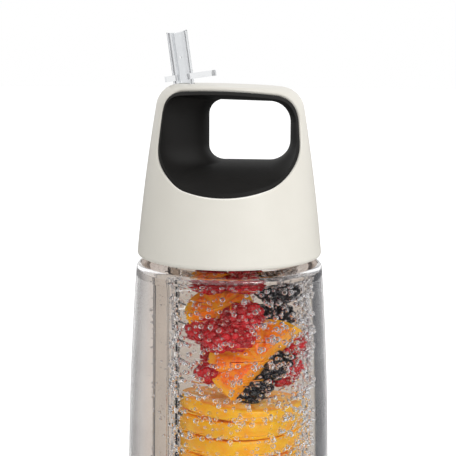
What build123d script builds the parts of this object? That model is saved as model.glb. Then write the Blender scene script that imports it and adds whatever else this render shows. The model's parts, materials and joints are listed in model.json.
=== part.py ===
from build123d import *
import math
import os

os.makedirs("parts", exist_ok=True)

# Shared clearances
running_gap = 0.08
loose_gap = 0.3
seal_gap = 0.02
cut_overrun = 3.0

# Bottle body, standing on the plane z = 0 with its axis on Z
body_wall = 2.6
foot_radius = 34.5
foot_fillet = 7.5
mid_radius = 41.7
mid_height = 84.0
shoulder_radius = 38.2
shoulder_height = 147.6
shoulder_fillet = 2.2
inner_shoulder_fillet = 3.4
inner_root_fillet = 1.7
shoulder_rise = 1.4
neck_root_fillet = 0.8
base_thickness = 4.2
punt_radius = 26.5
punt_depth = 2.2
punt_fillet = 0.8
neck_radius = 30.6
neck_wall = 2.2
neck_top = 166.0
neck_lip_fillet = 0.7

# Screw thread between the neck and the inner cap
thread_pitch = 4.0
thread_turns = 1.6
thread_start = 154.6
thread_depth = 1.2
thread_root_width = 2.4
thread_crest_width = 1.0
thread_sink = 0.25

# Lid envelope, a gently curved cone with a slightly sloping top
lid_bottom = 151.0
lid_height = 69.3
lid_radius_bottom = 38.0
lid_radius_mid = 34.1
lid_mid_height = 34.0
lid_radius_top = 27.3
lid_blank_height = 76.0
lid_top_slope = 1.6
lid_top_fillet = 9.8
lid_bottom_fillet = 1.6
shell_wall = 2.0
shell_rim_fillet = 1.0

# Hand opening through the lid, narrowest at the middle of the lid
throat_left = 8.4
throat_right = 24.6
throat_floor = 39.1
throat_ceiling = 63.6
throat_corner = 6.0
throat_right_corner = 8.4
mouth_left = 26.6
mouth_right = 27.8
mouth_floor_drop = 10.1
mouth_floor_reach = 35.0
mouth_ceiling_rise = 2.6
mouth_ceiling_reach = 26.3
column_nose_radius = 12.0
column_flare_angle = 57.0
column_flare_reach = 17.5
side_reach = 15.0
side_growth_share = 0.11
left_growth_share = 0.22
low_left_corner_share = 1.7
low_right_corner_share = 0.9
high_left_corner_share = 0.7
high_right_corner_share = 0.2
ceiling_slope = 1.6
tunnel_reach = 42.0
tunnel_steps = 7
liner_wall = 1.6
liner_recess = 0.35
liner_joint_gap = 0.1

# Inner cap that carries the thread, the basket socket and the straw
cap_ring_radius = 33.9
cap_ring_wall = 1.2
cap_ring_bottom = 152.2
cap_flange_radius = 35.5
cap_flange_height = 2.0
cap_plate_thickness = 2.2
gasket_thickness = 2.0
gasket_width = 3.2
gasket_fillet = 0.4

# Infuser basket, set to the right of the axis to leave room for the straw
basket_offset = 3.55
basket_radius = 21.55
basket_wall = 1.9
basket_top = 160.0
basket_bottom = 38.0
basket_rim_height = 3.0
basket_rim_extra = 0.3
socket_wall = 2.0
socket_depth = 15.0
slot_height = 2.2
slot_width = 15.0
slot_pitch = 7.7
slot_count = 13
slots_round = 5
first_slot_height = 49.0
basket_seal_section = 0.7
basket_seal_drop = 11.0

# Cap that closes the basket from below
base_cap_flange = 3.0
base_cap_plug = 7.0
base_cap_wall = 1.8
base_cap_grip_radius = 3.0
drain_hole_radius = 1.6
drain_circle_radius = 12.0
drain_count = 8

# Straw and its silicone grommet under the inner cap
straw_offset = 21.2
straw_radius = 2.6
straw_wall = 0.7
straw_bottom = 11.0
straw_cut_angle = 45.0
grommet_radius = 4.0
grommet_height = 6.0
straw_boss_radius = 5.2
straw_boss_height = 7.0

# Riser that carries the drink from the inner cap up to the spout
riser_radius = 3.0
riser_wall = 0.8
riser_boss_radius = 5.6
riser_boss_height = 5.0
riser_seat = 0.8
riser_bend_radius = 9.0
riser_straight = 10.0
riser_seal_section = 0.6

# Spout, leaning outwards, that pulls up to open and pushes down to close
spout_lean = 8.0
spout_offset = 18.8
spout_radius = 4.2
spout_bore = 3.0
spout_length = 21.0
spout_below = 11.5
spout_divider = 0.6
spout_divider_offset = 2.0
spout_divider_bottom = 3.0
spout_saddle_radius = 14.0
spout_saddle_depth = 0.6
vent_hole_radius = 0.55
vent_hole_height = 10.4
vent_hole_offset = 0.4
tab_clearance = 1.4
tab_thickness = 2.3
tab_right = 13.4
tab_left = 7.0
tab_half_width = 3.7
tab_corner = 1.6
tab_nub_round = 3.2
spout_flange_radius = 4.7
spout_flange_thickness = 1.2
spout_flange_drop = 7.4
spout_seat_radius = 1.7
spout_seat_height = 1.5

# Guide tube that holds the spout inside the lid
guide_bore = 4.95
guide_wall = 1.05
guide_top_drop = 3.1
guide_length = 14.4
guide_floor = 1.2
guide_neck_length = 5.0
guide_neck_radius = 4.4
valve_post_radius = 1.4
valve_post_height = 4.4
valve_port_radius = 0.45
valve_port_circle = 1.95
valve_port_count = 6
retainer_height = 1.5
retainer_drop = 6.1
oring_section = 0.6
oring_upper_drop = 8.6
oring_lower_drop = 10.4

# Air valve in the inner cap
vent_valve_x = -14.0
vent_valve_y = 20.0
vent_valve_radius = 3.2
vent_valve_dome = 1.0
vent_stem_radius = 1.3
vent_bulb_radius = 1.9
vent_bulb_height = 1.6

# Heights and radii that follow from the values above
bore_radius = neck_radius - neck_wall
lid_top = lid_bottom + lid_height
gasket_top = neck_top + gasket_thickness
plate_top = gasket_top + cap_plate_thickness
thread_crest = neck_radius + thread_depth
cap_thread_root = cap_ring_radius - cap_ring_wall
cap_thread_depth = cap_thread_root - thread_crest - loose_gap
socket_radius = basket_radius - basket_wall - loose_gap
basket_bore = basket_radius - basket_wall
spout_root_height = lid_top + spout_offset * math.tan(math.radians(lid_top_slope))
thread_height = thread_pitch * thread_turns


def ring(plane, outer, inner):
    """A flat ring on a plane, ready to be extruded."""
    with BuildSketch(plane) as outline:
        Circle(outer)
        Circle(inner, mode=Mode.SUBTRACT)
    return outline.sketch


def lid_profile(inset):
    """Half of the lid's outline in the XZ plane, moved inwards by inset."""
    foot = (lid_radius_bottom - inset, lid_bottom)
    middle = (lid_radius_mid - inset, lid_bottom + lid_mid_height)
    head = (lid_radius_top - inset, lid_bottom + lid_blank_height)
    with BuildSketch(Plane.XZ) as outline:
        with BuildLine():
            ThreePointArc(foot, middle, head)
            Polyline(head, (0, head[1]), (0, lid_bottom), foot)
        make_face()
    return outline.sketch


def top_plane(inset):
    """The sloping plane of the lid's top, lowered by inset."""
    plane = Plane((0, 0, lid_top - inset), x_dir=(1, 0, 0), z_dir=(0, 0, 1))
    return plane.rotated((0, lid_top_slope, 0))


def wall_left(reach):
    """How far left of the axis the column beside the hand opening ends."""
    turn = math.radians(column_flare_angle)
    nose_reach = column_nose_radius * math.sin(turn)
    if reach < nose_reach:
        return throat_left + column_nose_radius - math.sqrt(column_nose_radius**2 - reach**2)
    at_nose = throat_left + column_nose_radius * (1 - math.cos(turn))
    straight = at_nose + (min(reach, column_flare_reach) - nose_reach) * math.tan(turn)
    return min(straight, mouth_left) + max(0, reach - column_flare_reach) * left_growth_share


def wall_right(reach):
    """How far right of the axis the hand opening ends."""
    rise = (mouth_right - throat_right) * min(1, reach / side_reach) ** 2
    return throat_right + rise + max(0, reach - side_reach) * side_growth_share


def tunnel_section(reach, grow):
    """The hand opening's outline at a distance from the lid's middle plane."""
    depth = abs(reach)
    left = -wall_left(depth) - grow
    right = wall_right(depth) + grow
    floor = throat_floor - mouth_floor_drop * (depth / mouth_floor_reach) ** 2 - grow
    ceiling = throat_ceiling + mouth_ceiling_rise * (depth / mouth_ceiling_reach) ** 2 + grow
    slope = math.tan(math.radians(ceiling_slope))
    flare = throat_corner * depth / tunnel_reach
    with BuildSketch(Plane.XZ.offset(reach)) as outline:
        with BuildLine():
            FilletPolyline(
                (left, lid_bottom + floor),
                (right, lid_bottom + floor),
                (right, lid_bottom + ceiling - right * slope),
                (left, lid_bottom + ceiling - left * slope),
                radius=[
                    throat_corner + grow + flare * low_left_corner_share,
                    throat_right_corner + grow + flare * low_right_corner_share,
                    throat_right_corner + grow + flare * high_right_corner_share,
                    throat_corner + grow + flare * high_left_corner_share,
                ],
                close=True,
            )
        make_face()
    return outline.sketch


def tunnel_reaches():
    """Distances of the opening's outlines from the middle plane, front to back."""
    step = tunnel_reach / tunnel_steps
    return [step * index for index in range(-tunnel_steps, tunnel_steps + 1)]


# Solid lid envelope, and the same envelope one shell wall further in
with BuildPart() as envelope:
    revolve(lid_profile(0), axis=Axis.Z)
    split(bisect_by=top_plane(0), keep=Keep.BOTTOM)
    fillet(envelope.edges().group_by(Axis.Z)[-1], radius=lid_top_fillet)
    fillet(envelope.edges().group_by(Axis.Z)[0], radius=lid_bottom_fillet)

with BuildPart() as hollow:
    revolve(lid_profile(shell_wall), axis=Axis.Z)
    split(bisect_by=top_plane(shell_wall), keep=Keep.BOTTOM)
    fillet(hollow.edges().group_by(Axis.Z)[-1], radius=lid_top_fillet - shell_wall)

with BuildPart() as liner_limit:
    revolve(lid_profile(liner_recess), axis=Axis.Z)
    split(bisect_by=top_plane(liner_recess), keep=Keep.BOTTOM)
    fillet(liner_limit.edges().group_by(Axis.Z)[-1], radius=lid_top_fillet - liner_recess)

# Hand opening as free space, and with the liner's wall added
with BuildPart() as tunnel:
    loft([tunnel_section(reach, 0) for reach in tunnel_reaches()])

with BuildPart() as tunnel_outer:
    loft([tunnel_section(reach, liner_wall) for reach in tunnel_reaches()])

# Line of the spout, from the lid's top outwards
lean = math.radians(spout_lean)
spout_root = (-spout_offset, 0, spout_root_height)
spout_right = (math.cos(lean), 0, math.sin(lean))
spout_up = (-math.sin(lean), 0, math.cos(lean))
spout_plane = Plane(origin=spout_root, x_dir=spout_right, z_dir=spout_up)
spout_side = Plane(origin=spout_root, x_dir=spout_right, z_dir=(0, -1, 0))
spout_axis = Axis(spout_root, spout_up)


def block(plane, low, high):
    """A rectangle between two corners on a plane."""
    width = high[0] - low[0]
    height = high[1] - low[1]
    with BuildSketch(plane) as outline:
        with Locations((low[0] + width / 2, low[1] + height / 2)):
            Rectangle(width, height)
    return outline.sketch


def seal_section(plane, centre_radius, section, height):
    """A round seal's section at a radius and height on a plane."""
    with BuildSketch(plane) as outline:
        with Locations((centre_radius, height)):
            Circle(section)
    return outline.sketch


def thread_form(radius, depth, sink, start):
    """A screw thread on a helix, standing out of its wall by depth."""
    out = math.copysign(1, depth)
    with BuildPart() as form:
        with BuildLine() as path:
            Helix(thread_pitch, thread_height, radius, center=(0, 0, start))
        begin = path.wire() @ 0
        with BuildSketch(Plane(origin=begin, x_dir=(1, 0, 0), z_dir=(path.wire() % 0))):
            with BuildLine():
                Polyline(
                    (-out * sink, -thread_root_width / 2),
                    (depth, -thread_crest_width / 2),
                    (depth, thread_crest_width / 2),
                    (-out * sink, thread_root_width / 2),
                    close=True,
                )
            make_face()
        sweep(path=path.wire(), is_frenet=True)
    return form.part


# Clear bottle body with its neck and screw thread
with BuildPart() as bottle_body:
    with BuildSketch(Plane.XZ) as body_outline:
        with BuildLine():
            Polyline(
                (0, punt_depth),
                (punt_radius, punt_depth),
                (punt_radius + punt_depth, 0),
                (foot_radius, 0),
            )
            CenterArc((foot_radius, foot_fillet), foot_fillet, -90, 90)
            ThreePointArc(
                (foot_radius + foot_fillet, foot_fillet),
                (mid_radius, mid_height),
                (shoulder_radius, shoulder_height),
            )
            Polyline(
                (shoulder_radius, shoulder_height),
                (neck_radius, shoulder_height + shoulder_rise),
                (neck_radius, neck_top),
                (0, neck_top),
                (0, punt_depth),
            )
        make_face()
        corners = body_outline.vertices()
        shoulder = corners.sort_by_distance((shoulder_radius, shoulder_height))[0]
        neck_root = corners.sort_by_distance((neck_radius, shoulder_height + shoulder_rise))[0]
        punt_edge = corners.sort_by_distance((punt_radius + punt_depth, 0))[0]
        fillet(shoulder, radius=shoulder_fillet)
        fillet(neck_root, radius=neck_root_fillet)
        fillet(punt_edge, radius=punt_fillet)
    revolve(axis=Axis.Z)
    with BuildSketch(Plane.XZ) as cavity_outline:
        with BuildLine():
            inner_foot = foot_fillet - body_wall
            Polyline((0, neck_top + cut_overrun), (0, base_thickness), (foot_radius, base_thickness))
            CenterArc((foot_radius, base_thickness + inner_foot), inner_foot, -90, 90)
            ThreePointArc(
                (foot_radius + inner_foot, base_thickness + inner_foot),
                (mid_radius - body_wall, mid_height),
                (shoulder_radius - body_wall, shoulder_height - body_wall),
            )
            Polyline(
                (shoulder_radius - body_wall, shoulder_height - body_wall),
                (bore_radius, shoulder_height + shoulder_rise - body_wall),
                (bore_radius, neck_top + cut_overrun),
                (0, neck_top + cut_overrun),
            )
        make_face()
        inner_corners = cavity_outline.vertices()
        inner_shoulder = (shoulder_radius - body_wall, shoulder_height - body_wall)
        inner_root = (bore_radius, shoulder_height + shoulder_rise - body_wall)
        fillet(inner_corners.sort_by_distance(inner_shoulder)[0], radius=inner_shoulder_fillet)
        fillet(inner_corners.sort_by_distance(inner_root)[0], radius=inner_root_fillet)
    revolve(axis=Axis.Z, mode=Mode.SUBTRACT)
    fillet(bottle_body.edges().group_by(Axis.Z)[-1], radius=neck_lip_fillet)
    add(thread_form(neck_radius, thread_depth, thread_sink, thread_start))
bottle_body.part.label = "bottle_body"
export_step(bottle_body.part, "parts/bottle_body.step")

# Cream outer shell of the lid
with BuildPart() as lid_shell:
    add(envelope.part)
    add(tunnel_outer.part, mode=Mode.SUBTRACT)
    rims = [edge for edge in lid_shell.edges(Select.LAST) if abs(edge.center().Y) > throat_corner]
    fillet(rims, radius=shell_rim_fillet)
    add(hollow.part, mode=Mode.SUBTRACT)
    with BuildSketch(spout_plane.offset(-lid_top_fillet)):
        Circle(spout_radius + loose_gap)
    extrude(amount=2 * lid_top_fillet, mode=Mode.SUBTRACT)
lid_shell.part.label = "lid_shell"
export_step(lid_shell.part, "parts/lid_shell.step")

# Black liner of the hand opening, moulded in two halves that meet at the throat
with BuildPart() as liner:
    add(tunnel_outer.part)
    add(liner_limit.part, mode=Mode.INTERSECT)
    add(tunnel.part, mode=Mode.SUBTRACT)

with BuildPart() as handle_liner_front:
    add(liner.part)
    split(bisect_by=Plane.XZ.offset(liner_joint_gap / 2), keep=Keep.TOP)
handle_liner_front.part.label = "handle_liner_front"
export_step(handle_liner_front.part, "parts/handle_liner_front.step")

with BuildPart() as handle_liner_rear:
    add(liner.part)
    split(bisect_by=Plane.XZ.offset(-liner_joint_gap / 2), keep=Keep.BOTTOM)
handle_liner_rear.part.label = "handle_liner_rear"
export_step(handle_liner_rear.part, "parts/handle_liner_rear.step")

# Inner cap with its thread, bulkhead, basket socket and straw boss
with BuildPart() as inner_cap:
    ring_height = plate_top - cap_ring_bottom
    cap_wall = ring(Plane.XY.offset(cap_ring_bottom), cap_ring_radius, cap_thread_root)
    extrude(cap_wall, amount=ring_height)
    flange = ring(Plane.XY.offset(cap_ring_bottom), cap_flange_radius, cap_thread_root)
    extrude(flange, amount=cap_flange_height)
    with BuildSketch(Plane.XY.offset(gasket_top)):
        Circle(cap_ring_radius)
    extrude(amount=cap_plate_thickness)
    socket_plane = Plane((basket_offset, 0, gasket_top - socket_depth))
    extrude(ring(socket_plane, socket_radius, socket_radius - socket_wall), amount=socket_depth)
    boss_plane = Plane((-straw_offset, 0, gasket_top - straw_boss_height))
    extrude(ring(boss_plane, straw_boss_radius, grommet_radius), amount=straw_boss_height)
    riser_boss_plane = Plane((-straw_offset, 0, plate_top))
    extrude(ring(riser_boss_plane, riser_boss_radius, riser_radius), amount=riser_boss_height)
    riser_seal_height = plate_top + riser_boss_height / 2
    with BuildSketch(Plane((-straw_offset, 0, riser_seal_height - riser_seal_section))):
        Circle(riser_radius + 2 * riser_seal_section)
    extrude(amount=2 * riser_seal_section, mode=Mode.SUBTRACT)
    basket_seal_height = gasket_top - basket_seal_drop
    basket_seal_centre = basket_bore - seal_gap - basket_seal_section
    basket_groove_plane = Plane((basket_offset, 0, basket_seal_height - basket_seal_section))
    basket_groove = ring(basket_groove_plane, basket_radius, basket_seal_centre - basket_seal_section)
    extrude(basket_groove, amount=2 * basket_seal_section, mode=Mode.SUBTRACT)
    with Locations((-straw_offset, 0, plate_top)):
        Cylinder(
            straw_radius - straw_wall,
            cap_plate_thickness + cut_overrun,
            align=(Align.CENTER, Align.CENTER, Align.CENTER),
            mode=Mode.SUBTRACT,
        )
    with Locations((vent_valve_x, vent_valve_y, gasket_top)):
        Cylinder(vent_stem_radius, 2 * cap_plate_thickness + cut_overrun, mode=Mode.SUBTRACT)
    add(thread_form(cap_thread_root, -cap_thread_depth, thread_sink, thread_start + thread_pitch / 2))
inner_cap.part.label = "inner_cap"
export_step(inner_cap.part, "parts/inner_cap.step")

# Silicone gasket between the neck's lip and the inner cap
with BuildPart() as lid_gasket:
    gasket_outer = neck_radius + thread_depth / 2
    gasket_band = ring(Plane.XY.offset(neck_top), gasket_outer, gasket_outer - gasket_width)
    extrude(gasket_band, amount=gasket_thickness)
    fillet(lid_gasket.edges(), radius=gasket_fillet)
lid_gasket.part.label = "lid_gasket"
export_step(lid_gasket.part, "parts/lid_gasket.step")

# Clear slotted basket that holds the fruit
with BuildPart() as infuser_basket:
    basket_height = basket_top - basket_bottom
    basket_plane = Plane((basket_offset, 0, basket_bottom))
    extrude(ring(basket_plane, basket_radius, basket_bore), amount=basket_height)
    rim_plane = Plane((basket_offset, 0, basket_top - basket_rim_height))
    extrude(ring(rim_plane, basket_radius + basket_rim_extra, basket_bore), amount=basket_rim_height)
    for row in range(slot_count):
        with Locations((basket_offset, 0, first_slot_height + row * slot_pitch)):
            with PolarLocations(basket_radius, slots_round):
                Box(2 * basket_wall + cut_overrun, slot_width, slot_height, mode=Mode.SUBTRACT)
infuser_basket.part.label = "infuser_basket"
export_step(infuser_basket.part, "parts/infuser_basket.step")

# Seal ring between the basket and its socket
with BuildPart() as infuser_oring:
    basket_side = Plane.XZ.move(Location((basket_offset, 0, 0)))
    basket_axis = Axis((basket_offset, 0, 0), (0, 0, 1))
    revolve(
        seal_section(basket_side, basket_seal_centre, basket_seal_section, basket_seal_height),
        axis=basket_axis,
    )
infuser_oring.part.label = "infuser_oring"
export_step(infuser_oring.part, "parts/infuser_oring.step")

# Drained cap that closes the basket from below
with BuildPart() as infuser_base_cap:
    with BuildSketch(Plane((basket_offset, 0, basket_bottom - base_cap_flange))):
        Circle(basket_radius)
        with PolarLocations(drain_circle_radius, drain_count):
            Circle(drain_hole_radius, mode=Mode.SUBTRACT)
        Circle(base_cap_grip_radius, mode=Mode.SUBTRACT)
    extrude(amount=base_cap_flange)
    plug = ring(basket_plane, socket_radius, socket_radius - base_cap_wall)
    extrude(plug, amount=base_cap_plug)
infuser_base_cap.part.label = "infuser_base_cap"
export_step(infuser_base_cap.part, "parts/infuser_base_cap.step")

# Drinking straw, cut at a slant at its foot
straw_top = gasket_top - (straw_boss_height - grommet_height)
with BuildPart() as straw:
    straw_plane = Plane((-straw_offset, 0, straw_bottom))
    straw_section = ring(straw_plane, straw_radius, straw_radius - straw_wall)
    extrude(straw_section, amount=straw_top - straw_bottom)
    slant = Plane((-straw_offset, 0, straw_bottom + straw_radius)).rotated((0, straw_cut_angle, 0))
    split(bisect_by=slant, keep=Keep.TOP)
straw.part.label = "straw"
export_step(straw.part, "parts/straw.step")

# Silicone grommet that grips the straw
with BuildPart() as straw_grommet:
    grommet_plane = Plane((-straw_offset, 0, gasket_top - straw_boss_height))
    extrude(ring(grommet_plane, grommet_radius, straw_radius), amount=grommet_height)
straw_grommet.part.label = "straw_grommet"
export_step(straw_grommet.part, "parts/straw_grommet.step")

# Umbrella valve that lets air in through the inner cap
with BuildPart() as vent_valve:
    valve_foot = gasket_top - vent_valve_dome
    with BuildSketch(Plane((vent_valve_x, vent_valve_y, valve_foot))):
        Circle(vent_valve_radius)
    extrude(amount=vent_valve_dome)
    with BuildSketch(Plane((vent_valve_x, vent_valve_y, gasket_top))):
        Circle(vent_stem_radius)
    extrude(amount=cap_plate_thickness)
    with BuildSketch(Plane((vent_valve_x, vent_valve_y, plate_top))):
        Circle(vent_bulb_radius)
    extrude(amount=vent_bulb_height)
    fillet(vent_valve.edges().group_by(Axis.Z)[0], radius=vent_valve_dome / 2)
    fillet(vent_valve.edges().group_by(Axis.Z)[-1], radius=vent_bulb_height / 2)
vent_valve.part.label = "vent_valve"
export_step(vent_valve.part, "parts/vent_valve.step")


def down_spout(drop):
    """The point on the spout's line at a distance below the lid's top."""
    return (
        spout_root[0] - drop * spout_up[0],
        0,
        spout_root[2] - drop * spout_up[2],
    )


# Riser from the inner cap to the spout's guide, with a gentle double bend
guide_foot_drop = guide_top_drop + guide_length
riser_top_drop = guide_foot_drop + guide_neck_length / 2
riser_foot = plate_top + riser_seat
with BuildPart() as riser_tube:
    with BuildLine() as riser_path:
        FilletPolyline(
            (-straw_offset, 0, riser_foot),
            (-straw_offset, 0, riser_foot + riser_straight),
            down_spout(riser_top_drop + guide_neck_length),
            down_spout(riser_top_drop),
            radius=riser_bend_radius,
        )
    riser_start = Plane((-straw_offset, 0, riser_foot))
    riser_section = ring(riser_start, riser_radius, riser_radius - riser_wall)
    sweep(riser_section, path=riser_path.wire())
riser_tube.part.label = "riser_tube"
export_step(riser_tube.part, "parts/riser_tube.step")

# Seal ring at the riser's foot
with BuildPart() as riser_seal:
    riser_side = Plane.XZ.move(Location((-straw_offset, 0, 0)))
    riser_seal_centre = riser_radius + riser_seal_section
    revolve(
        seal_section(riser_side, riser_seal_centre, riser_seal_section, riser_seal_height),
        axis=Axis((-straw_offset, 0, 0), (0, 0, 1)),
    )
riser_seal.part.label = "riser_seal"
export_step(riser_seal.part, "parts/riser_seal.step")

# Guide tube of the spout, with the valve post on its floor
with BuildPart() as spout_guide:
    guide_radius = guide_bore + guide_wall
    guide_foot = spout_plane.offset(-guide_foot_drop)
    extrude(ring(guide_foot, guide_radius, guide_bore), amount=guide_length)
    with BuildSketch(guide_foot):
        Circle(guide_radius)
        with PolarLocations(valve_port_circle, valve_port_count):
            Circle(valve_port_radius, mode=Mode.SUBTRACT)
    extrude(amount=guide_floor)
    with BuildSketch(guide_foot.offset(guide_floor)):
        Circle(valve_post_radius)
    extrude(amount=valve_post_height)
    extrude(ring(guide_foot, guide_neck_radius, riser_radius), amount=-guide_neck_length)
spout_guide.part.label = "spout_guide"
export_step(spout_guide.part, "parts/spout_guide.step")

# Ring that stops the spout from being pulled out
with BuildPart() as spout_retainer:
    retainer_plane = spout_plane.offset(-retainer_drop)
    retainer = ring(retainer_plane, guide_bore - seal_gap, spout_radius + running_gap)
    extrude(retainer, amount=retainer_height)
spout_retainer.part.label = "spout_retainer"
export_step(spout_retainer.part, "parts/spout_retainer.step")

# Clear spout with its finger tab, its inner divider and its seal grooves
oring_centre = guide_bore - seal_gap - oring_section
with BuildPart() as spout:
    spout_foot = spout_plane.offset(-spout_below)
    extrude(ring(spout_foot, spout_radius, spout_bore), amount=spout_below + spout_length)
    extrude(ring(spout_foot, spout_bore, spout_seat_radius), amount=spout_seat_height)
    spout_flange = ring(spout_plane.offset(-spout_flange_drop), spout_flange_radius, spout_bore)
    extrude(spout_flange, amount=spout_flange_thickness)
    with BuildSketch(spout_plane.offset(tab_clearance)) as tab_outline:
        with Locations(((tab_right - tab_left) / 2, 0)):
            Rectangle(tab_right + tab_left, 2 * tab_half_width)
        tab_ends = tab_outline.vertices().group_by(Axis.X)
        fillet(tab_ends[-1], radius=tab_corner)
        fillet(tab_ends[0], radius=tab_nub_round)
        Circle(spout_bore, mode=Mode.SUBTRACT)
    extrude(amount=tab_thickness)
    with BuildSketch(spout_plane.offset(-spout_below + spout_divider_bottom)):
        Circle(spout_bore)
        with Locations((-spout_divider_offset, 0)):
            Rectangle(spout_divider, 2 * spout_bore, mode=Mode.INTERSECT)
    extrude(amount=spout_below - spout_divider_bottom + spout_length)
    for drop in (oring_upper_drop, oring_lower_drop):
        groove_plane = spout_plane.offset(-drop - oring_section)
        groove = ring(groove_plane, guide_bore, oring_centre - oring_section)
        extrude(groove, amount=2 * oring_section, mode=Mode.SUBTRACT)
    with BuildSketch(spout_side):
        with Locations((0, spout_length - spout_saddle_depth + spout_saddle_radius)):
            Circle(spout_saddle_radius)
    extrude(amount=spout_radius + cut_overrun, both=True, mode=Mode.SUBTRACT)
    with BuildSketch(spout_side):
        with Locations((vent_hole_offset, vent_hole_height)):
            Circle(vent_hole_radius)
    extrude(amount=spout_radius + cut_overrun, mode=Mode.SUBTRACT)
spout.part.label = "spout"
export_step(spout.part, "parts/spout.step")

# Two seal rings on the spout's lower end
with BuildPart() as spout_oring_upper:
    revolve(seal_section(spout_side, oring_centre, oring_section, -oring_upper_drop), axis=spout_axis)
spout_oring_upper.part.label = "spout_oring_upper"
export_step(spout_oring_upper.part, "parts/spout_oring_upper.step")

with BuildPart() as spout_oring_lower:
    revolve(seal_section(spout_side, oring_centre, oring_section, -oring_lower_drop), axis=spout_axis)
spout_oring_lower.part.label = "spout_oring_lower"
export_step(spout_oring_lower.part, "parts/spout_oring_lower.step")
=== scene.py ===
import json
import math
import random

import bpy
import bmesh
from mathutils import Matrix, Quaternion, Vector


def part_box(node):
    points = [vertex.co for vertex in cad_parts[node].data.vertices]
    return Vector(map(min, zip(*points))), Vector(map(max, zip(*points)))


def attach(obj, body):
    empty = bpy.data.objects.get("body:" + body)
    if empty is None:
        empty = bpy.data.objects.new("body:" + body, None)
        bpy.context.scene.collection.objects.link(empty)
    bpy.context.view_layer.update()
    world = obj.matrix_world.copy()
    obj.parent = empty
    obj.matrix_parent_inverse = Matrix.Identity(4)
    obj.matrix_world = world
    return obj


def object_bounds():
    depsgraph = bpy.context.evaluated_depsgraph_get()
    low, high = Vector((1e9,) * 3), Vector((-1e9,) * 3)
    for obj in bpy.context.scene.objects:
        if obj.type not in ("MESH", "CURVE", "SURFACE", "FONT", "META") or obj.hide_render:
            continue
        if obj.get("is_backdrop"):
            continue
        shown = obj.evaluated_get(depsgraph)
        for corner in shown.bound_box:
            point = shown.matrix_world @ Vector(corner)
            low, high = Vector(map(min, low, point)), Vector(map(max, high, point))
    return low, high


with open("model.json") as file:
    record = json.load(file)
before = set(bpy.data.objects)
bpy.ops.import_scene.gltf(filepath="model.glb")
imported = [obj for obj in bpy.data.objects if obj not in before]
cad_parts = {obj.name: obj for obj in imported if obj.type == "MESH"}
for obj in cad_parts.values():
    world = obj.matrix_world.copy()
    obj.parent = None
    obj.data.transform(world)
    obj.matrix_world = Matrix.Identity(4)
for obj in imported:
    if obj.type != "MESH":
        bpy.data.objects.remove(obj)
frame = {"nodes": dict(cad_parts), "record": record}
nodes = frame["nodes"]
bounds_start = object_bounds()
scene = bpy.context.scene

MM = 0.001
WATER_IOR = 1.33
PLASTIC_IOR = 1.5

# Places taken from the frame, and the basket's outer and inner radius
basket_low, basket_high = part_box("infuser_basket")
straw_low, straw_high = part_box("straw")
basket_x = (basket_low.x + basket_high.x) / 2
basket_radius = 21.55 * MM
basket_bore = 19.65 * MM
straw_x = (straw_low.x + straw_high.x) / 2
straw_radius = (straw_high.x - straw_low.x) / 2


class Graph:
    """Builds a material's nodes with short calls."""

    def __init__(self, name):
        self.mat = bpy.data.materials.new(name)
        self.mat.use_nodes = True
        self.tree = self.mat.node_tree
        self.tree.nodes.clear()
        self.out = self.tree.nodes.new("ShaderNodeOutputMaterial")

    def add(self, kind, links=None, **settings):
        node = self.tree.nodes.new(kind)
        for key, value in settings.items():
            setattr(node, key, value)
        for key, value in (links or {}).items():
            if isinstance(value, bpy.types.NodeSocket):
                self.tree.links.new(value, node.inputs[key])
            else:
                node.inputs[key].default_value = value
        return node

    def place(self):
        return self.add("ShaderNodeTexCoord").outputs["Object"]

    def noise(self, where, scale, detail=3.0, roughness=0.5):
        links = {"Vector": where, "Scale": scale, "Detail": detail, "Roughness": roughness}
        return self.add("ShaderNodeTexNoise", links).outputs["Fac"]

    def ramp(self, factor, *stops):
        node = self.add("ShaderNodeValToRGB", {"Fac": factor})
        band = node.color_ramp
        while len(band.elements) < len(stops):
            band.elements.new(0.5)
        for element, (place, colour) in zip(band.elements, stops):
            element.position = place
            element.color = (*colour, 1.0)
        return node.outputs["Color"]

    def math(self, operation, *values):
        links = dict(enumerate(values))
        return self.add("ShaderNodeMath", links, operation=operation).outputs[0]

    def mix(self, factor, first, second):
        links = {0: factor, 6: first, 7: second}
        return self.add("ShaderNodeMix", links, data_type="RGBA").outputs[2]

    def bump(self, height, strength, distance):
        links = {"Height": height, "Strength": strength, "Distance": distance}
        return self.add("ShaderNodeBump", links).outputs["Normal"]

    def done(self, shader):
        self.tree.links.new(shader.outputs[0], self.out.inputs["Surface"])
        return self.mat


def moulded(name, low, high, roughness, grain=900.0, bump=0.05, spread=0.04, specular=0.5):
    """A moulded plastic with a faint change of tone and a fine grain."""
    g = Graph(name)
    where = g.place()
    fine = g.noise(where, grain, 2.0, 0.6)
    tone = g.ramp(g.noise(where, 45.0, 4.0, 0.55), (0.3, low), (0.7, high))
    rough = g.math("MULTIPLY_ADD", fine, spread, roughness - spread / 2)
    return g.done(g.add("ShaderNodeBsdfPrincipled", {
        "Base Color": tone, "Roughness": rough, "IOR": PLASTIC_IOR,
        "Specular IOR Level": specular, "Normal": g.bump(fine, bump, 0.0002),
    }))


# The bounce after which light in clear plastic goes straight on
TRAPPED_DEPTH = 5.5


def crossing(g):
    """One for lamp light, soft light and light long since trapped, which all go straight on."""
    path = g.add("ShaderNodeLightPath").outputs
    trapped = g.math("GREATER_THAN", path["Ray Depth"], TRAPPED_DEPTH)
    return g.math("MAXIMUM", trapped, g.math("MAXIMUM", path["Is Shadow Ray"], path["Is Diffuse Ray"]))


def painted_pale_skin(g, tone):
    """A pale skin lit from both sides, used to paint light onto clear surfaces."""
    behind = g.add("ShaderNodeBsdfTranslucent", {"Color": tone})
    before = g.add("ShaderNodeBsdfDiffuse", {"Color": tone})
    return g.add("ShaderNodeMixShader", {0: 0.35, 1: before.outputs[0], 2: behind.outputs[0]})


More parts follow.
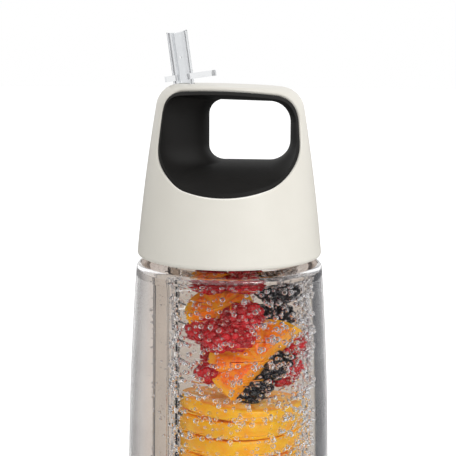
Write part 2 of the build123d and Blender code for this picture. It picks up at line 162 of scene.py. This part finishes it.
def clear(name, ior, tint=(1.0, 1.0, 1.0), wave=0.0, painted_light_share=0.0):
    """A clear material. Lamps reach through it, so that what is inside is lit."""
    g = Graph(name)
    where = g.place()
    dim = tuple(channel * 0.985 for channel in tint)
    tone = g.ramp(g.noise(where, 60.0, 2.0), (0.35, dim), (0.65, tint))
    links = {"Color": tone, "IOR": ior, "Roughness": 0.0}
    if wave:
        links["Normal"] = g.bump(g.noise(where, 140.0, 2.0), wave, 0.0006)
    glass = g.add("ShaderNodeBsdfGlass", links)
    # A share of pale skin paints light onto the clear surface
    if painted_light_share:
        skin = painted_pale_skin(g, tone)
        glass = g.add("ShaderNodeMixShader", {0: painted_light_share, 1: glass.outputs[0], 2: skin.outputs[0]})
    through = g.add("ShaderNodeBsdfTransparent", {"Color": tone})
    either = crossing(g)
    return g.done(g.add("ShaderNodeMixShader", {0: either, 1: glass.outputs[0], 2: through.outputs[0]}))


def unseen(name):
    """A surface that light crosses unbent, with a trace of tone."""
    g = Graph(name)
    tone = g.ramp(g.noise(g.place(), 60.0, 2.0), (0.35, (0.985, 0.98, 0.98)), (0.65, (1.0, 1.0, 1.0)))
    return g.done(g.add("ShaderNodeBsdfTransparent", {"Color": tone}))


def bubble_air(name):
    """Air in water: clear, with a painted pale rim where its wall is seen edge on, a painted reflection
    that stands in for the ring of total reflection.
    """
    g = Graph(name)
    where = g.place()
    tone = g.ramp(g.noise(where, 60.0, 2.0), (0.35, (0.97, 0.97, 0.98)), (0.65, (1.0, 1.0, 1.0)))
    glass = g.add("ShaderNodeBsdfGlass", {"Color": tone, "IOR": 1 / WATER_IOR, "Roughness": 0.0})
    edge = g.add("ShaderNodeLayerWeight", {"Blend": 0.5}).outputs["Facing"]
    painted_rim = g.math("MULTIPLY", g.math("POWER", edge, 3.0), 0.75)
    body = g.add("ShaderNodeMixShader", {0: painted_rim, 1: glass.outputs[0], 2: painted_pale_skin(g, tone).outputs[0]})
    through = g.add("ShaderNodeBsdfTransparent", {"Color": tone})
    either = crossing(g)
    return g.done(g.add("ShaderNodeMixShader", {0: either, 1: body.outputs[0], 2: through.outputs[0]}))


def berry_skin(name, low, high, roughness, glow):
    """Skin of a berry's drupelets, uneven in tone and faintly veined."""
    g = Graph(name)
    where = g.place()
    tone = g.ramp(g.noise(where, 260.0, 3.0, 0.6), (0.35, low), (0.65, high))
    return g.done(g.add("ShaderNodeBsdfPrincipled", {
        "Base Color": tone, "Roughness": roughness, "IOR": 1.4,
        "Normal": g.bump(g.noise(where, 1500.0, 2.0), 0.15, 0.0002),
        "Subsurface Weight": glow, "Subsurface Radius": (0.004, 0.001, 0.0006), "Subsurface Scale": 0.5,
    }))


def orange_flesh(name, dark, middle, light):
    """Pulp in small cells, pale pith and pored rind, laid out by the slice's zone attribute."""
    g = Graph(name)
    zone = g.add("ShaderNodeAttribute", attribute_name="zone").outputs["Vector"]
    parts = g.add("ShaderNodeSeparateXYZ", {"Vector": zone}).outputs
    where = g.place()
    cells = g.add("ShaderNodeTexVoronoi", {"Vector": where, "Scale": 620.0}).outputs["Distance"]
    cloud = g.noise(where, 170.0, 4.0, 0.65)
    spread = g.math("MULTIPLY_ADD", cells, 0.5, cloud)
    pulp = g.ramp(spread, (0.45, dark), (0.68, middle), (0.9, light))
    pith = g.ramp(cloud, (0.3, (1.0, 0.28, 0.0)), (0.7, (1.0, 0.42, 0.02)))
    rind = g.ramp(cloud, (0.3, (1.0, 0.36, 0.0)), (0.7, (1.0, 0.56, 0.01)))
    colour = g.mix(parts["Y"], g.mix(parts["X"], pulp, pith), rind)
    return g.done(g.add("ShaderNodeBsdfPrincipled", {
        "Base Color": colour, "Roughness": 0.35, "IOR": 1.4,
        "Normal": g.bump(cells, 0.35, 0.0004),
        "Subsurface Weight": 0.25, "Subsurface Radius": (0.006, 0.003, 0.001), "Subsurface Scale": 0.5,
    }))


cream = moulded("cream plastic", (0.68, 0.655, 0.59), (0.71, 0.685, 0.62), 0.36)
cream_painted_highlight = moulded("cream rim with painted highlight", (0.84, 0.82, 0.76), (0.87, 0.85, 0.80), 0.34)
charcoal = moulded(
    "charcoal soft plastic", (0.012, 0.0115, 0.011), (0.017, 0.016, 0.015), 0.58, bump=0.2, specular=0.12,
)
cap_tone = moulded("cap plastic", (0.48, 0.40, 0.34), (0.54, 0.45, 0.39), 0.5)
rubber = moulded("silicone", (0.60, 0.60, 0.57), (0.66, 0.66, 0.62), 0.6)
body_clear = clear("clear body", PLASTIC_IOR)
body_wetted = clear("clear body in water", PLASTIC_IOR / WATER_IOR)
# Painted light: a pale skin on the shoulder's rounded edge that lifts its dark ring
body_edge_painted_light = clear("clear body edge with painted light", PLASTIC_IOR, painted_light_share=0.06)
# Painted shade: a dark brown tint on the shoulder's level top, standing in for the lid's shadow and its
# dark reflection
body_painted_shade = clear("clear body with painted shade under the lid", PLASTIC_IOR, (0.62, 0.55, 0.50))
basket_clear = clear("clear basket", 1.05, (0.985, 0.98, 0.975))
straw_clear = clear("clear straw", 1.09, (0.98, 0.975, 0.97))
spout_clear = clear("clear spout", 1.49, (0.93, 0.935, 0.94), wave=0.2)
water_surface = clear("water surface", WATER_IOR, (0.99, 0.99, 0.99))
water_contact = unseen("water at the wall")
air = bubble_air("bubbles")
raspberry = berry_skin("raspberry", (0.30, 0.0, 0.003), (0.60, 0.001, 0.008), 0.35, 0.1)
dark_berry = berry_skin("dark berry", (0.002, 0.002, 0.004), (0.010, 0.006, 0.010), 0.3, 0.0)
orange = orange_flesh("orange", (0.75, 0.07, 0.0), (1.0, 0.16, 0.0), (1.0, 0.28, 0.0))
# The wheels get a lighter copy of the orange: painted light that brightens the stack, whose top lies in
# shade
orange_painted_light = orange_flesh("orange with painted light", (1.0, 0.30, 0.01), (1.0, 0.46, 0.05), (1.0, 0.60, 0.14))
by_slot = {
    "clear_body": body_clear,
    "cream_plastic": cream,
    "black_soft": charcoal,
    "cap_plastic": cap_tone,
    "silicone": rubber,
    "clear_spout": spout_clear,
    "clear_basket": basket_clear,
}
for part in frame["record"]["subparts"]:
    mesh = nodes[part["node"]].data
    mesh.materials.clear()
    mesh.materials.append(straw_clear if part["node"] == "straw" else by_slot[part["material_slot"]])

# The body's inner wall touches water below the water's level. Outside, the shoulder's rounded edge gets
# painted light, a pale skin that lifts its dark ring, and its level top gets painted shade, a dark tint for
# the lid's shadow and dark reflection
water_level = 160.0 * MM
floor_top, roof_low = 20.0 * MM, 100.0 * MM
shoulder_low, shoulder_high = 140.0 * MM, 150.0 * MM
leaning, level = 0.12, 0.97
body_mesh = nodes["bottle_body"].data
for material in (body_wetted, body_edge_painted_light, body_painted_shade):
    body_mesh.materials.append(material)
for face in body_mesh.polygons:
    centre, normal = face.center, face.normal
    inward = normal.x * centre.x + normal.y * centre.y < -0.2 * math.hypot(centre.x, centre.y)
    floor_side = normal.z > 0.5 and centre.z < floor_top
    roof_side = normal.z < -0.5 and roof_low < centre.z
    face.material_index = int(centre.z < water_level and (inward or floor_side or roof_side))
    # Painted light on the shoulder's rounded edge, painted shade on its level top
    if not inward and normal.z > leaning and shoulder_low < centre.z < shoulder_high:
        face.material_index = 2 if normal.z < level else 3

# The rounded rim of the hand opening gets a paler cream, a painted highlight: its faces look outward and
# into the opening
liner_low, liner_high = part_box("handle_liner_front")
lid_mesh = nodes["lid_shell"].data
lid_mesh.materials.append(cream_painted_highlight)
for face in lid_mesh.polygons:
    centre, normal = face.center, face.normal
    inward_x = (liner_low.x + liner_high.x) / 2 - centre.x
    inward_z = (liner_low.z + liner_high.z) / 2 - centre.z
    into = (normal.x * inward_x + normal.z * inward_z) / math.hypot(inward_x, inward_z)
    face.material_index = int(into > 0.3 and normal.y * centre.y > 0.2 * abs(centre.y))


def mesh_object(name, verts, faces, material, body):
    """A smooth mesh object from its points and faces, riding on a body of the frame."""
    mesh = bpy.data.meshes.new(name)
    mesh.from_pydata([tuple(v) for v in verts], [], faces)
    mesh.shade_smooth()
    mesh.materials.append(material)
    made = bpy.data.objects.new(name, mesh)
    scene.collection.objects.link(made)
    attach(made, body)
    return made


def turned(name, outline, steps, material, body):
    """A closed solid turned about the Z axis from an outline that starts and ends on the axis."""
    verts = [Vector((0, 0, outline[0][1]))]
    for radius, height in outline[1:-1]:
        for i in range(steps):
            angle = 2 * math.pi * i / steps
            verts.append(Vector((radius * math.cos(angle), radius * math.sin(angle), height)))
    verts.append(Vector((0, 0, outline[-1][1])))
    rows, last = len(outline) - 2, len(verts) - 1
    faces = []
    for i in range(steps):
        j = (i + 1) % steps
        faces.append((0, 1 + j, 1 + i))
        for k in range(rows - 1):
            a, b = 1 + k * steps, 1 + (k + 1) * steps
            faces.append((a + i, a + j, b + j, b + i))
        top = 1 + (rows - 1) * steps
        faces.append((top + i, top + j, last))
    return mesh_object(name, verts, faces, material, body)


def arc(centre, radius, start, end, steps):
    """Points of an arc in the radius-height plane, angles in degrees."""
    angles = [math.radians(start + (end - start) * i / steps) for i in range(steps + 1)]
    return [(centre[0] + radius * math.cos(a), centre[1] + radius * math.sin(a)) for a in angles]


def bowed(low, middle, high, steps):
    """Points of a gently bowed wall through three points."""
    points = []
    for i in range(1, steps):
        t = i / steps
        height = low[1] + (high[1] - low[1]) * t
        a = (height - middle[1]) * (height - high[1]) / ((low[1] - middle[1]) * (low[1] - high[1]))
        b = (height - low[1]) * (height - high[1]) / ((middle[1] - low[1]) * (middle[1] - high[1]))
        c = (height - low[1]) * (height - middle[1]) / ((high[1] - low[1]) * (high[1] - middle[1]))
        points.append((a * low[0] + b * middle[0] + c * high[0], height))
    return points


# Water up to the neck. Its sides lie on the wall, whose own material bends the light there
wall = 2.6 * MM
film = 0.05 * MM
floor_height = 4.2 * MM
foot_radius = 34.5 * MM
inner_foot = 4.9 * MM
mid = (41.7 * MM - wall, 84.0 * MM)
shoulder = (38.2 * MM - wall, 144.0 * MM)
bore = 28.4 * MM
neck_root = 146.0 * MM
water_steps, wall_steps, foot_steps = 128, 40, 8
foot_start = -80
low_wall = (foot_radius + inner_foot, floor_height + inner_foot)
outline = [(0.0, floor_height + film), (foot_radius, floor_height + film)]
outline += arc((foot_radius, floor_height + inner_foot), inner_foot - film, foot_start, 0, foot_steps)
outline += [(r - film, z) for r, z in bowed(low_wall, mid, shoulder, wall_steps)]
outline += [(bore - film, neck_root), (bore - film, water_level), (0.0, water_level)]
water = turned("water", outline, water_steps, water_contact, "bottle")
water.data.materials.append(water_surface)
for face in water.data.polygons:
    face.material_index = int(face.normal.z > 0.9 and face.center.z > water_level - MM)


def ball():
    """Points and faces of a sphere of radius one."""
    shape = bmesh.new()
    bmesh.ops.create_icosphere(shape, subdivisions=2, radius=1.0)
    points = [v.co.copy() for v in shape.verts]
    faces = [tuple(v.index for v in f.verts) for f in shape.faces]
    shape.free()
    return points, faces


BALL_POINTS, BALL_FACES = ball()


def balls(name, spots, material, body):
    """Many spheres as one piece. A spot is a centre, a radius and a stretch."""
    verts, joined = [], []
    for centre, radius, stretch in spots:
        base = len(verts)
        verts += [
            centre + Vector((p.x * stretch[0], p.y * stretch[1], p.z * stretch[2])) * radius
            for p in BALL_POINTS
        ]
        joined += [tuple(base + i for i in f) for f in BALL_FACES]
    return mesh_object(name, verts, joined, material, body)


def berry(name, centre, length, width, tilt, turn, drupelet, material, seed):
    """A red or dark berry: rows of drupelets over a tapering core."""
    grain = random.Random(seed)
    place = Matrix.Translation(centre) @ Matrix.Rotation(turn, 4, "Z") @ Matrix.Rotation(tilt, 4, "Y")
    row_share, overlap, sunk_side, sunk_end = 0.72, 0.92, 0.45, 0.4
    fewest_rows, fewest_in_row = 5, 3
    blunt, top_width, taper = 0.8, 1.06, 0.22
    spots = []
    rows = max(fewest_rows, round(length / drupelet * row_share))
    for row in range(rows):
        along = (row + 0.5) / rows
        polar = math.pi * (0.10 + 0.86 * along)
        swell = math.sin(polar) ** blunt
        ring_radius = (width / 2 - drupelet * sunk_side) * swell * (top_width - taper * along)
        height = (length / 2 - drupelet * sunk_end) * math.cos(polar)
        count = max(fewest_in_row, round(2 * math.pi * ring_radius / (drupelet * overlap)))
        for index in range(count):
            angle = 2 * math.pi * (index + 0.5 * (row % 2)) / count + grain.uniform(-0.06, 0.06)
            size = drupelet * grain.uniform(0.54, 0.64)
            local = Vector((ring_radius * math.cos(angle), ring_radius * math.sin(angle), height))
            spots.append((place @ local, size, (1, 1, 1)))
    core_radius, core_stretch = width * 0.40, length / width * 0.95
    spots.append((place.translation.copy(), core_radius, (1, 1, core_stretch)))
    return balls(name, spots, material, "infuser")


def smooth_step(low, high, value):
    """From zero at the low value to one at the high value, without a kink."""
    t = min(1.0, max(0.0, (value - low) / (high - low)))
    return t * t * (3 - 2 * t)


def orange_slice(name, centre, radius, thickness, along, across, material, seed, half=False):
    """A cut slice of orange: rind, pith, and segments between their membranes."""
    grain = random.Random(seed)
    segments, around, ring_count = 10, 160, 24
    membranes = [2 * math.pi * (i + grain.uniform(-0.12, 0.12)) / segments for i in range(segments)]
    pith_width, membrane, core = 2.4 * MM, 0.35 * MM, 1.6 * MM
    pulp_edge, swell, swell_reach = 0.5 * MM, 0.55 * MM, 1.6 * MM
    rind_start, rind_end = radius - 1.3 * MM, radius - 0.9 * MM
    rounding = [(1.1 * MM, 0.0), (0.5 * MM, -0.25 * MM), (0.15 * MM, -0.7 * MM)]
    pulp_radius = radius - pith_width
    rings = [(radius * k / ring_count, 0.0) for k in range(1, ring_count - 2)]
    rings += [(radius - inset, drop) for inset, drop in rounding]

    def surface(r, angle, drop):
        apart = min(abs(math.sin((angle - m) / 2)) * 2 * r for m in membranes)
        inside = min(apart - membrane, (pulp_radius - r) * 0.9, r - core)
        pulp = smooth_step(0.0, pulp_edge, inside)
        bulge = swell * smooth_step(0.0, swell_reach, inside)
        skin = smooth_step(rind_start, rind_end, r)
        return thickness / 2 + drop + bulge, (1 - pulp, skin)

    verts, zones = [], []
    for side in (1, -1):
        height, zone = surface(0.0, 0.0, 0.0)
        verts.append(Vector((0, 0, side * height)))
        zones.append(zone)
        for r, drop in rings:
            for i in range(around):
                angle = 2 * math.pi * i / around
                height, zone = surface(r, angle, drop)
                out = r * (1 + 0.006 * math.sin(3 * angle + seed))
                verts.append(Vector((out * math.cos(angle), out * math.sin(angle), side * height)))
                zones.append(zone)
    rows, per_side = len(rings), 1 + len(rings) * around
    faces = []
    for side in (0, 1):
        start = side * per_side
        ring = [[start + 1 + k * around + i for i in range(around)] for k in range(rows)]
        for i in range(around):
            j = (i + 1) % around
            cap = (start, ring[0][i], ring[0][j])
            faces.append(cap if side == 0 else cap[::-1])
            for k in range(rows - 1):
                quad = (ring[k][i], ring[k + 1][i], ring[k + 1][j], ring[k][j])
                faces.append(quad if side == 0 else quad[::-1])
    top = 1 + (rows - 1) * around
    for i in range(around):
        j = (i + 1) % around
        faces.append((top + i, per_side + top + i, per_side + top + j, top + j))
    mesh = bpy.data.meshes.new(name)
    mesh.from_pydata(verts, [], faces)
    zone = mesh.attributes.new("zone", "FLOAT_VECTOR", "POINT")
    for point, (pale, skin) in zip(zone.data, zones):
        point.vector = (pale, skin, 0.0)
    shape = bmesh.new()
    shape.from_mesh(mesh)
    if half:
        past_middle = 0.8 * MM
        cut = bmesh.ops.bisect_plane(
            shape, geom=shape.verts[:] + shape.edges[:] + shape.faces[:],
            plane_co=(0, -past_middle, 0), plane_no=(0, -1, 0), clear_outer=True,
        )
        edges = [e for e in cut["geom_cut"] if isinstance(e, bmesh.types.BMEdge)]
        bmesh.ops.edgenet_fill(shape, edges=edges)
    shape.to_mesh(mesh)
    shape.free()
    for polygon in mesh.polygons:
        polygon.use_smooth = len(polygon.vertices) < 6
    mesh.materials.append(material)
    made = bpy.data.objects.new(name, mesh)
    scene.collection.objects.link(made)
    side = Vector(along).normalized()
    face_normal = side.cross(Vector(across)).normalized()
    turn = Matrix((side, face_normal.cross(side), face_normal)).transposed()
    made.matrix_world = Matrix.Translation(centre) @ turn.to_4x4()
    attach(made, "infuser")
    return made


def at(x, z, y=0.0):
    """A point in the basket, in millimetres from the bottle's axis."""
    return Vector((x * MM, y * MM, z * MM))


# Wheels of orange from the top down: the middle's height, the fall to the right and the thickness.
# Every second one lies a small step to the left, and their depths differ by small steps too
wheel_radius = 19.1
wheel_x, wheel_step, depth_step = 3.8, 0.3, 0.1
wheels = [
    (89.3, 0.12, 5.2), (82.8, 0.03, 7.0), (75.2, 0.0, 7.4), (67.3, 0.04, 7.4), (59.4, -0.04, 7.4),
    (51.6, 0.03, 7.2),
]
for index, (height, fall, thick) in enumerate(wheels):
    orange_slice(
        f"orange_wheel_{index + 1}",
        at(wheel_x - wheel_step * (index % 2), height, depth_step * (index % 3)),
        wheel_radius * MM, thick * MM, (1, 0, -fall), (0.02, 1, 0.02 * index), orange_painted_light, 5 + index,
    )

# A half slice standing aslant before the berries, and a smaller one near the top: place as X, Z and Y,
# radius, thickness, the directions along and across it, and the seed
halves = [
    ("orange_half_large", (12.0, 109.0, -9.5), 18.0, 6.5, (20.0, 10.0, 25.0), (-0.62, 0.45, 0.52), 21),
    ("orange_half_small", (-2.0, 129.5, -8.0), 11.5, 6.0, (1.0, 0.1, 0.30), (-0.35, 0.75, 0.55), 22),
]
for name, place, radius, thick, along, across, seed in halves:
    orange_slice(name, at(*place), radius * MM, thick * MM, along, across, orange, seed, half=True)

# Berries: place as X, Z and Y, length and width in millimetres, tilt and turn in degrees
reds = [
    (-6.8, 121.5, -5.5, 13.0, 12.5, 80, 10), (5.2, 128.0, -10.0, 14.5, 13.0, 75, -20),
    (-1.0, 120.0, -11.5, 14.0, 12.5, 60, 30), (4.0, 119.5, -9.5, 13.0, 11.5, 60, 70),
    (-5.8, 104.2, -9.0, 9.5, 9.0, 85, 0), (18.0, 103.5, -1.0, 13.0, 11.0, 20, 0),
    (-6.0, 141.5, -4.0, 13.0, 12.0, 85, 30), (5.5, 142.0, -5.0, 13.0, 12.0, 85, -20),
    (19.0, 113.5, 1.0, 11.0, 10.0, 60, 40), (-2.0, 110.0, 7.0, 15.0, 14.0, 50, 0),
]
darks = [
    (8.5, 97.5, -5.5, 15.0, 12.0, 35, 0), (15.5, 107.0, -4.5, 14.0, 11.5, 30, 10),
    (16.0, 137.5, -3.5, 15.0, 11.5, 85, -15), (12.0, 124.0, 7.0, 15.0, 12.5, 60, 0),
]
for kind, berries, drupelet, material, seed in (
    ("raspberry", reds, 3.1, raspberry, 40), ("dark_berry", darks, 3.0, dark_berry, 60),
):
    for index, (x, z, y, length, width, tilt, turn) in enumerate(berries):
        berry(
            f"{kind}_{index + 1}", at(x, z, y), length * MM, width * MM, math.radians(tilt),
            math.radians(turn), drupelet * MM, material, seed + index,
        )

# Where the straw passes the basket, at rest and after the infuser's quarter turn
straw_sides = [(math.radians(turn), math.radians(14)) for turn in (-180, 90, 180)]
# Bubbles stand a gap off their wall, a share of them gathers near the rows of slots, and most are small
bubble_gap = 0.06 * MM
on_row_share, row_scatter = 0.4, 0.35 * MM
smallness = 2.6


def bubble_skin(
    name, body, axis_x, radius, low, high, count, sizes, seed,
    inward=False, rows=(), side=(0, 360), free=(),
):
    """Bubbles clinging to a round wall: more on the slot rows, clear of the wall and of the free sides."""
    grain = random.Random(seed)
    smallest, largest = sizes
    spots = []
    for _ in range(count):
        size = (smallest + (largest - smallest) * grain.random() ** smallness) * MM
        angle = math.radians(grain.uniform(*side))
        height = grain.uniform(low, high)
        if any(abs(angle - middle) < reach for middle, reach in free):
            continue
        if rows and grain.random() < on_row_share:
            height = min(rows, key=lambda row: abs(row - height)) + grain.gauss(0, row_scatter)
        out = radius - size - bubble_gap if inward else radius + size + bubble_gap
        centre = Vector((axis_x + out * math.cos(angle), out * math.sin(angle), height))
        spots.append((centre, size, (1, 1, 1)))
    return balls(name, spots, air, body)


# Upper and lower rims of the basket's slots
slot_start, slot_pitch, slot_count, slot_half = 49.0, 7.7, 13, 1.1
slot_rows = [
    (slot_start + slot_pitch * k + side) * MM for k in range(slot_count) for side in (-slot_half, slot_half)
]
# Side of the basket, number of bubbles, their radii in millimetres, seed and angles in degrees
skin_low, skin_high = 44 * MM, 146 * MM
basket_skins = [
    ("front", 1900, (0.2, 1.1), 1, (-180, 0)), ("back", 1100, (0.2, 0.9), 6, (0, 180)),
    ("side", 700, (0.3, 1.2), 5, (-60, 25)),
]
for place, count, sizes, seed, side in basket_skins:
    bubble_skin(
        f"bubbles_on_basket_{place}", "infuser", basket_x, basket_radius, skin_low, skin_high, count, sizes,
        seed, rows=slot_rows, side=side, free=straw_sides,
    )
# Piece, body, axis, radius, lowest and highest place, number, radii, seed and whether inside the wall
wall_skins = [
    ("bubbles_in_basket", "infuser", basket_x, basket_bore, 78, 142, 300, (0.2, 0.7), 2, True),
    ("bubbles_on_straw", "lid", straw_x, straw_radius, 50, 146, 240, (0.16, 0.6), 3, False),
    ("bubbles_on_wall", "bottle", 0.0, 38.8 * MM, 40, 135, 200, (0.10, 0.3), 4, True),
]
for name, body, axis_x, radius, low, high, count, sizes, seed, inward in wall_skins:
    bubble_skin(name, body, axis_x, radius, low * MM, high * MM, count, sizes, seed, inward)


# Camera where the photograph was taken from
camera_data = bpy.data.cameras.new("camera")
camera = bpy.data.objects.new("camera", camera_data)
scene.collection.objects.link(camera)
scene.camera = camera
camera_data.sensor_width = 36.0
camera_data.lens = 86.8
camera_turn = math.radians(5.0)
camera_tilt = math.radians(9.29)
camera_roll = math.radians(0.26)
camera_range = 454.0 * MM
aim = Vector((-0.6 * MM, 0.0, 161.7 * MM))
back = Vector((
    math.sin(camera_turn) * math.cos(camera_tilt),
    -math.cos(camera_turn) * math.cos(camera_tilt),
    math.sin(camera_tilt),
))
camera.location = aim + back * camera_range
camera.rotation_mode = "QUATERNION"
camera.rotation_quaternion = Quaternion(back, camera_roll) @ back.to_track_quat("Z", "Y")
camera_data.clip_start = 0.01
camera_data.clip_end = 50.0


def card(name, centre, facing, width, height, material):
    """A flat studio card, not part of the object."""
    mesh = bpy.data.meshes.new(name)
    w, h = width / 2, height / 2
    mesh.from_pydata([(-w, -h, 0), (w, -h, 0), (w, h, 0), (-w, h, 0)], [], [(0, 1, 2, 3)])
    mesh.materials.append(material)
    made = bpy.data.objects.new(name, mesh)
    scene.collection.objects.link(made)
    turn = Vector(facing).to_track_quat("Z", "Y").to_matrix()
    made.matrix_world = Matrix.Translation(centre) @ turn.to_4x4()
    made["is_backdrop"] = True
    return made


def seen_by(made, *rays):
    """Shows a card to these kinds of ray alone."""
    for kind in ("camera", "shadow", "diffuse", "glossy", "transmission"):
        setattr(made, f"visible_{kind}", kind in rays)


def paper(name, low, high):
    """Plain rough paper."""
    g = Graph(name)
    tone = g.ramp(g.noise(g.place(), 30.0, 2.0), (0.3, low), (0.7, high))
    return g.done(g.add("ShaderNodeBsdfPrincipled", {"Base Color": tone, "Roughness": 0.8}))


def floor_paper(name, low, high, dark, glow):
    """Pale paper, white to the camera and in glass, and dark in the first reflections."""
    g = Graph(name)
    tone = g.ramp(g.noise(g.place(), 30.0, 2.0), (0.3, low), (0.7, high))
    path = g.add("ShaderNodeLightPath").outputs
    first_gloss = g.math("MULTIPLY", path["Is Glossy Ray"], g.math("LESS_THAN", path["Ray Depth"], 2.5))
    seen = g.math("MAXIMUM", path["Is Camera Ray"], path["Is Transmission Ray"])
    return g.done(g.add("ShaderNodeBsdfPrincipled", {
        "Base Color": g.mix(first_gloss, tone, (*dark, 1.0)), "Roughness": 0.8,
        "Emission Color": (1.0, 1.0, 1.0, 1.0), "Emission Strength": g.math("MULTIPLY", seen, glow),
    }))


def softbox_cloth(name, strength):
    """Bright, nearly even cloth."""
    g = Graph(name)
    glow = g.ramp(g.noise(g.place(), 10.0, 2.0), (0.3, (0.96, 0.96, 0.96)), (0.7, (1.0, 1.0, 1.0)))
    return g.done(g.add("ShaderNodeEmission", {"Color": glow, "Strength": strength}))


def painted_shade_cloth(name, width, *stops):
    """A glowing cloth with painted shade from side to side over its width."""
    g = Graph(name)
    side = g.add("ShaderNodeSeparateXYZ", {"Vector": g.place()}).outputs["X"]
    shade = g.ramp(g.math("MULTIPLY_ADD", side, 1 / width, 0.5), *stops)
    return g.done(g.add("ShaderNodeEmission", {"Color": shade, "Strength": 1.0}))


# A pale floor, and cards that shade the sides
pale_floor = floor_paper("floor paper", (0.88, 0.88, 0.88), (0.90, 0.90, 0.90), (0.12, 0.12, 0.12), 0.3)
card("floor", (0, 0, 0), (0, 0, 1), 12.0, 12.0, pale_floor)
# Name, centre, facing, width, height, colour and the rays that see the card
cards = [
    ("flag_left", (-1.1, -0.1, 0.5), (1, 0, 0), 1.0, 1.4, (0.25, 0.24, 0.22), "diffuse"),
    ("glass_edge_left", (-0.55, 0.3, 0.35), (1, 0, 0), 1.2, 0.7, (0.40, 0.40, 0.41), "transmission"),
    ("glass_edge_right", (0.55, 0.3, 0.35), (-1, 0, 0), 1.2, 0.7, (0.40, 0.40, 0.41), "transmission"),
]
for name, centre, facing, width, height, colour, rays in cards:
    light_tone = tuple(min(1.0, 1.06 * c) for c in colour)
    seen_by(card(name, centre, facing, width, height, paper(name, colour, light_tone)), rays)

# A small bright softbox, seen in gloss alone
softbox_place, softbox_aim = Vector((0.68, -0.98, 1.0)), Vector((0, 0, 0.15))
softbox_width, softbox_height = 0.50, 0.30
softbox = card(
    "softbox", softbox_place, softbox_aim - softbox_place, softbox_width, softbox_height,
    softbox_cloth("softbox", 14.0),
)
seen_by(softbox, "glossy")

# A glowing screen close behind with painted shade, which only the water and the clear walls bend into view:
# it paints the light and dark bands seen through the bottle
screen_width, screen_height, screen_distance = 0.30, 0.20, 0.10
screen_painted_shades = painted_shade_cloth(
    "screen", screen_width,
    (0.02, (0.45, 0.45, 0.47)), (0.22, (0.06, 0.06, 0.08)), (0.33, (0.010, 0.012, 0.02)),
    (0.395, (0.012, 0.014, 0.02)), (0.41, (0.50, 0.44, 0.38)), (0.56, (0.60, 0.52, 0.46)),
    (0.60, (0.52, 0.48, 0.45)), (0.68, (0.24, 0.22, 0.21)), (0.80, (0.24, 0.23, 0.22)),
    (0.98, (0.60, 0.60, 0.60)),
)
away = Vector((-math.sin(camera_turn), math.cos(camera_turn), 0.0))
screen_place = away * screen_distance + Vector((0, 0, screen_height / 2))
screen = card("screen", screen_place, -away, screen_width, screen_height, screen_painted_shades)
seen_by(screen, "transmission")

# A soft lamp from the front right
lamp_place, lamp_aim = Vector((0.75, -0.75, 0.75)), Vector((0, 0, 0.18))
lamp_data = bpy.data.lights.new("key", "AREA")
lamp_data.shape = "RECTANGLE"
lamp_data.size, lamp_data.size_y = 0.5, 0.7
lamp_data.energy = 3.6
lamp = bpy.data.objects.new("key", lamp_data)
scene.collection.objects.link(lamp)
lamp.location = lamp_place
lamp.rotation_mode = "QUATERNION"
lamp.rotation_quaternion = (lamp_place - lamp_aim).to_track_quat("Z", "Y")

# Soft white surroundings
world = bpy.data.worlds.new("white studio")
scene.world = world
world.use_nodes = True
tree = world.node_tree
tree.nodes.clear()
world_out = tree.nodes.new("ShaderNodeOutputWorld")
sky = tree.nodes.new("ShaderNodeBackground")
sky.inputs["Color"].default_value = (1.0, 1.0, 1.0, 1.0)
sky.inputs["Strength"].default_value = 1.0
tree.links.new(sky.outputs[0], world_out.inputs["Surface"])
scene.view_settings.view_transform = "Standard"

bounds_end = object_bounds()
sizes = {"start": [list(v) for v in bounds_start], "end": [list(v) for v in bounds_end]}
